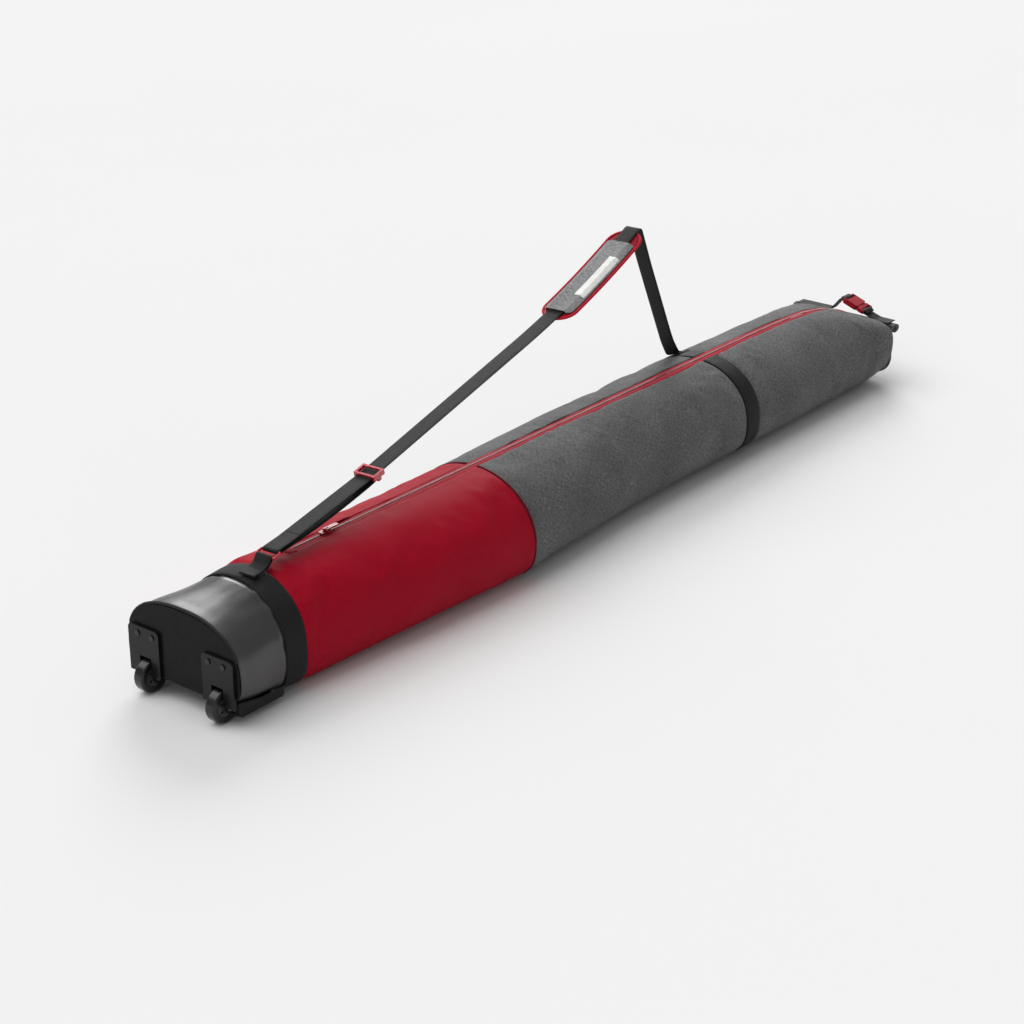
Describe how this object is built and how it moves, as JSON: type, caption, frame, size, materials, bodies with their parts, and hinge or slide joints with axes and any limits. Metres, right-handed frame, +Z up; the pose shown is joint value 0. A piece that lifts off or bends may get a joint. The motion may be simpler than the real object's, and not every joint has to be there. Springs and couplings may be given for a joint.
{
  "type": "wheeled ski bag",
  "caption": "Long wheeled ski bag with a top zip, coated wheel end, rolled and buckled mouth, and a padded shoulder strap.",
  "frame": {"origin": "on the floor at the bottom centre of the whole bag", "axes": "+X along the bag from the wheels to the rolled mouth, +Z up"},
  "size_m": [1.897, 0.2693, 0.4509],
  "materials": {
    "end_plastic": "smooth moulded black",
    "black_trim": "black bound edge",
    "dark_steel": "plain sheet",
    "bracket_plastic": "fine moulded grain",
    "tread": "smooth black tread",
    "hub_plastic": "moulded dark grey",
    "axle_steel": "turned steel",
    "rivet_steel": "darkened steel",
    "coated_fabric": "coated tarpaulin with a soft sheen",
    "webbing": "woven webbing",
    "red_fabric": "plain woven polyester",
    "grey_fabric": "heathered woven polyester",
    "dark_red_fabric": "cord-edged seam",
    "lining": "quilted padded lining",
    "red_tape": "woven zip tape",
    "zip_plastic": "moulded coil",
    "red_metal": "painted cast zinc",
    "red_plastic": "moulded",
    "red_gloss": "glossy coated",
    "red_mesh": "soft foam-backed lining",
    "heather_fabric": "heathered woven polyester",
    "red_piping": "corded edge",
    "white_print": "blank printed panel"
  },
  "bodies": {
    "bag": {"end_panel": "end_plastic", "end_piping": "black_trim", "backing_plate": "dark_steel", "wheel_bracket_left": "bracket_plastic", "wheel_bracket_right": "bracket_plastic", "axles": "axle_steel", "bracket_rivets": "rivet_steel", "rivet_washers": "rivet_steel", "skid_tray": "bracket_plastic", "boot_sleeve": "coated_fabric", "sleeve_base": "coated_fabric", "front_band": "webbing", "rear_band": "webbing", "red_panel_near": "red_fabric", "red_panel_far": "red_fabric", "grey_panel_near": "grey_fabric", "grey_panel_far": "grey_fabric", "panel_welt": "dark_red_fabric", "padded_lining": "lining", "zip_tape_near": "red_tape", "zip_tape_far": "red_tape", "zip_coil": "zip_plastic", "zip_end_tabs": "red_tape", "mouth_gusset": "grey_fabric", "mouth_roll": "grey_fabric", "closure_strap_far": "webbing", "closure_strap_near": "webbing", "buckle_socket": "red_plastic", "front_anchor_tab": "webbing", "strap_ring": "red_gloss", "rear_anchor_tab": "webbing"},
    "wheel_left": {"wheel_tread_left": "tread", "wheel_hub_left": "hub_plastic"},
    "wheel_right": {"wheel_tread_right": "tread", "wheel_hub_right": "hub_plastic"},
    "zip_slider": {"zip_slider": "red_metal"},
    "zip_puller": {"zip_puller": "red_metal"},
    "shoulder_strap": {"shoulder_strap": "webbing", "strap_front_end": "webbing", "strap_return": "webbing", "strap_rear_end": "webbing"},
    "strap_slide": {"strap_slide": "red_gloss"},
    "shoulder_pad": {"pad_back": "red_mesh", "pad_face": "heather_fabric", "pad_piping": "red_piping", "pad_patch": "white_print"},
    "buckle_prong": {"buckle_prong": "red_plastic"}
  },
  "joints": [
    {"name": "wheel_left_spin", "type": "hinge", "parent": "bag", "child": "wheel_left", "pos_m": [-0.9215, 0.08565, 0.027], "axis": [0, 1, 0], "continuous": true},
    {"name": "wheel_right_spin", "type": "hinge", "parent": "bag", "child": "wheel_right", "pos_m": [-0.9215, -0.06435, 0.027], "axis": [0, 1, 0], "continuous": true},
    {"name": "zip_run", "type": "slide", "parent": "bag", "child": "zip_slider", "axis": [1, 0, 0], "range_m": [0, 1.25]},
    {"name": "zip_puller_flip", "type": "hinge", "parent": "zip_slider", "child": "zip_puller", "pos_m": [-0.6255, 0.00265, 0.183], "axis": [0, -1, 0], "range_deg": [0, 180]},
    {"name": "strap_swing", "type": "hinge", "parent": "bag", "child": "shoulder_strap", "pos_m": [-0.7675, -0.00935, 0.193], "axis": [0.9975, 0.0684, -0.0197], "range_deg": [-72, 62], "deforming": ["strap_front_end", "strap_rear_end"]},
    {"name": "strap_slide_run", "type": "slide", "parent": "shoulder_strap", "child": "strap_slide", "axis": [0.9728, 0.0667, 0.2216], "range_m": [0, 0.3], "deforming": ["strap_return"]},
    {"name": "pad_run", "type": "hinge", "parent": "shoulder_strap", "child": "shoulder_pad", "pos_m": [-0.54792, 0.0057, 2.28274], "axis": [-0.0684, 0.9977, 0], "range_deg": [0, 2.6]},
    {"name": "buckle_release", "type": "slide", "parent": "bag", "child": "buckle_prong", "axis": [0, -0.9397, -0.342], "range_m": [0, 0.015], "deforming": ["closure_strap_near"]}
  ]
}
